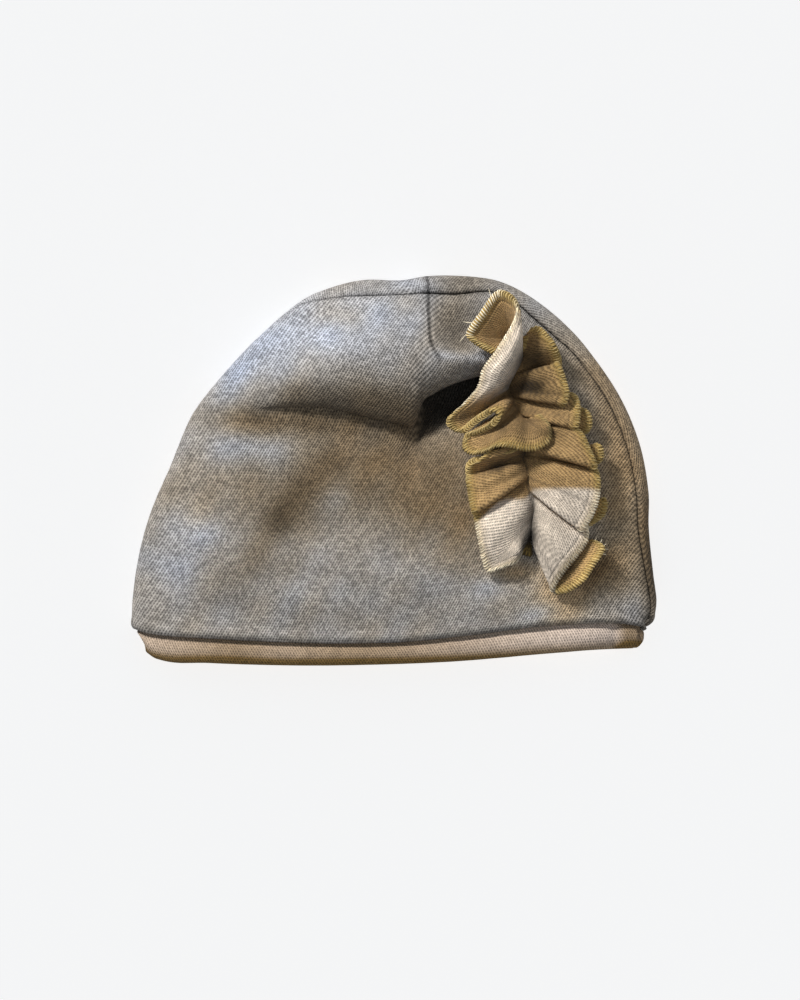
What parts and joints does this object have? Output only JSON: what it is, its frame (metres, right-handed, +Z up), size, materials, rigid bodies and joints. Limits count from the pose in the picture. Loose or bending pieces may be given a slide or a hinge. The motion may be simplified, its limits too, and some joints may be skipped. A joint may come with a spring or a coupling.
{
  "type": "ruffled hat",
  "caption": "Child's knitted hat lying flat on its back, with a rolled rim band and a gathered ruffle sewn down one side of the front.",
  "frame": {"origin": "on the table, under the middle of the hat's bounding box", "axes": "+X across the hat towards the ruffle's side, +Y from the mouth to the crown's top, +Z up from the table, out of the front"},
  "size_m": [0.2102, 0.1564, 0.0395],
  "materials": {
    "crown_knit": "heather grey-beige double jersey",
    "band_knit": "cream jersey",
    "ruffle_knit": "cream and ochre jersey, thick raw-looking edges"
  },
  "bodies": {
    "root": {"crown_front": "crown_knit", "crown_back": "crown_knit", "rim_band": "band_knit", "ruffle": "ruffle_knit"}
  },
  "joints": []
}
